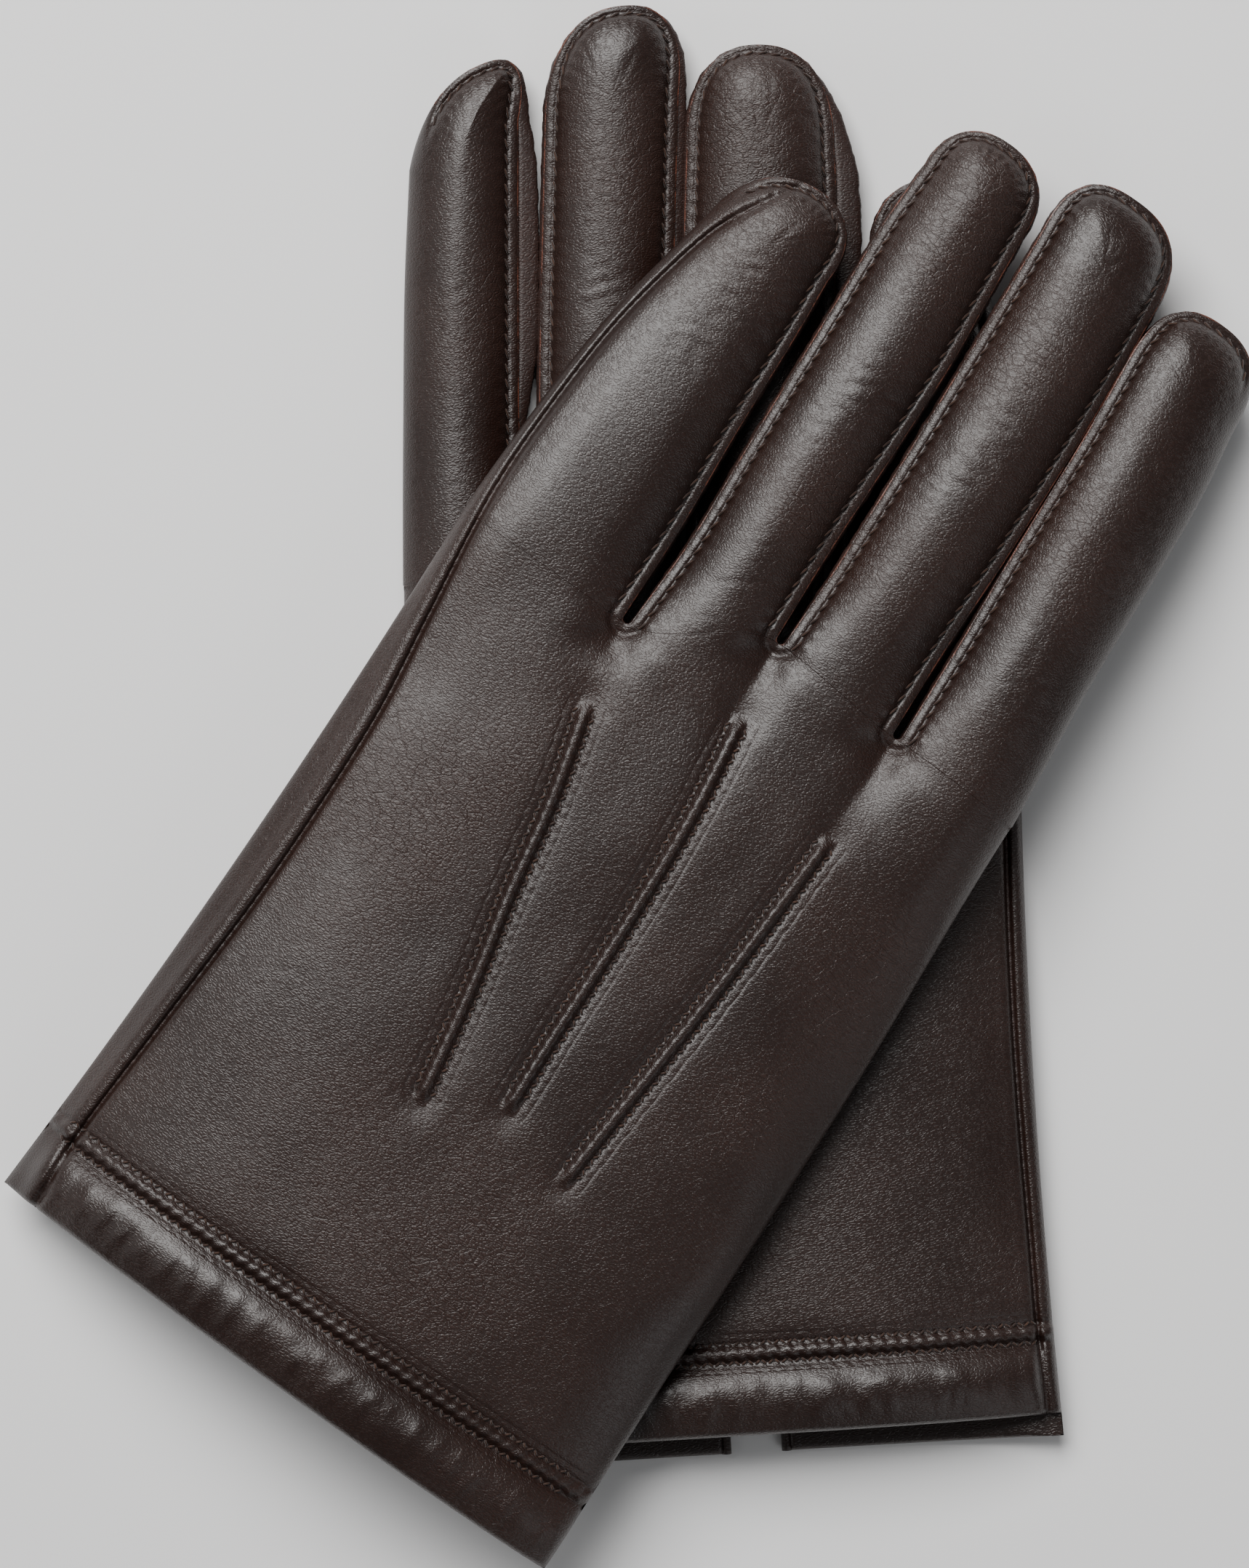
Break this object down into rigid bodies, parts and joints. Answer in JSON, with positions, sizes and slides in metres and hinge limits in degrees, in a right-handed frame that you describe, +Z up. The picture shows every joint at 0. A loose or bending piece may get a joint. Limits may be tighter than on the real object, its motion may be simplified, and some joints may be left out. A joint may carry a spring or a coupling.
{
  "type": "leather dress gloves",
  "caption": "Pair of lined leather dress gloves laid back up and crossed, with raised lines on the backs, hemmed cuffs, palm vents and folding fingers.",
  "frame": {"origin": "centre of the pair's bounding box, on the tabletop", "axes": "+Y towards the fingers of the lower, right glove; +X to the viewer's right seen from above; +Z up, out of the backs of the hands"},
  "size_m": [0.2159, 0.2704, 0.0283],
  "materials": {
    "leather": "smooth dark brown nappa, semi-gloss",
    "gusset_leather": "thinner dark brown leather with raw reddish edges, satin",
    "lining": "fine brown knit, soft",
    "thread": "brown polyester sewing thread, slight sheen"
  },
  "bodies": {
    "right_glove": {"right_back_panel": "leather", "right_palm_panel": "leather", "right_back_lining": "lining", "right_palm_lining": "lining", "right_back_hem": "leather", "right_palm_hem": "leather", "right_side_welt": "leather", "right_points": "leather", "right_thumb_back": "leather", "right_thumb_palm": "leather", "right_vent_binding": "gusset_leather", "right_thread": "thread", "right_finger_roots_fourchettes": "gusset_leather", "right_little_back": "leather", "right_little_palm": "leather", "right_little_fourchette": "gusset_leather", "right_little_lining": "lining"},
    "left_glove": {"left_back_panel": "leather", "left_palm_panel": "leather", "left_back_lining": "lining", "left_palm_lining": "lining", "left_back_hem": "leather", "left_palm_hem": "leather", "left_side_welt": "leather", "left_points": "leather", "left_thumb_back": "leather", "left_thumb_palm": "leather", "left_vent_binding": "gusset_leather", "left_thread": "thread"},
    "left_little_finger": {"left_little_back": "leather", "left_little_palm": "leather", "left_little_fourchette": "gusset_leather", "left_little_lining": "lining"},
    "left_ring_finger": {"left_ring_back": "leather", "left_ring_palm": "leather", "left_ring_fourchettes": "gusset_leather", "left_ring_lining": "lining"},
    "left_middle_finger": {"left_middle_back": "leather", "left_middle_palm": "leather", "left_middle_fourchettes": "gusset_leather", "left_middle_lining": "lining"},
    "left_index_finger": {"left_index_back": "leather", "left_index_palm": "leather", "left_index_fourchette": "gusset_leather", "left_index_lining": "lining"},
    "right_ring_finger_end": {"right_ring_back": "leather", "right_ring_palm": "leather", "right_ring_fourchettes": "gusset_leather", "right_ring_lining": "lining"},
    "right_middle_finger_end": {"right_middle_back": "leather", "right_middle_palm": "leather", "right_middle_fourchettes": "gusset_leather", "right_middle_lining": "lining"},
    "right_index_finger_end": {"right_index_back": "leather", "right_index_palm": "leather", "right_index_fourchette": "gusset_leather", "right_index_lining": "lining"}
  },
  "joints": [
    {"name": "left_glove_lift", "type": "slide", "parent": "right_glove", "child": "left_glove", "axis": [0, 0, 1], "range_m": [0, 0.08]},
    {"name": "left_little_finger_fold", "type": "hinge", "parent": "left_glove", "child": "left_little_finger", "pos_m": [-0.01404, 0.03665, 0.02435], "axis": [0.8321, -0.5546, 0], "range_deg": [0, 75]},
    {"name": "left_ring_finger_fold", "type": "hinge", "parent": "left_glove", "child": "left_ring_finger", "pos_m": [0.01324, 0.02487, 0.02435], "axis": [0.8506, -0.5258, 0], "range_deg": [0, 75]},
    {"name": "left_middle_finger_fold", "type": "hinge", "parent": "left_glove", "child": "left_middle_finger", "pos_m": [0.03618, 0.01491, 0.02435], "axis": [0.8565, -0.5161, 0], "range_deg": [0, 75]},
    {"name": "left_index_finger_fold", "type": "hinge", "parent": "left_glove", "child": "left_index_finger", "pos_m": [0.05625, -0.00036, 0.02435], "axis": [0.8627, -0.5057, 0], "range_deg": [0, 75]},
    {"name": "right_ring_finger_end_fold", "type": "hinge", "parent": "right_glove", "child": "right_ring_finger_end", "pos_m": [0.02172, 0.10708, 0.00975], "axis": [1, 0.0039, 0], "range_deg": [0, 60]},
    {"name": "right_middle_finger_end_fold", "type": "hinge", "parent": "right_glove", "child": "right_middle_finger_end", "pos_m": [-0.0023, 0.09857, 0.00975], "axis": [1, -0.0075, 0], "range_deg": [0, 60]},
    {"name": "right_index_finger_end_fold", "type": "hinge", "parent": "right_glove", "child": "right_index_finger_end", "pos_m": [-0.02732, 0.06203, 0.00975], "axis": [0.9998, -0.0196, 0], "range_deg": [0, 60]}
  ]
}
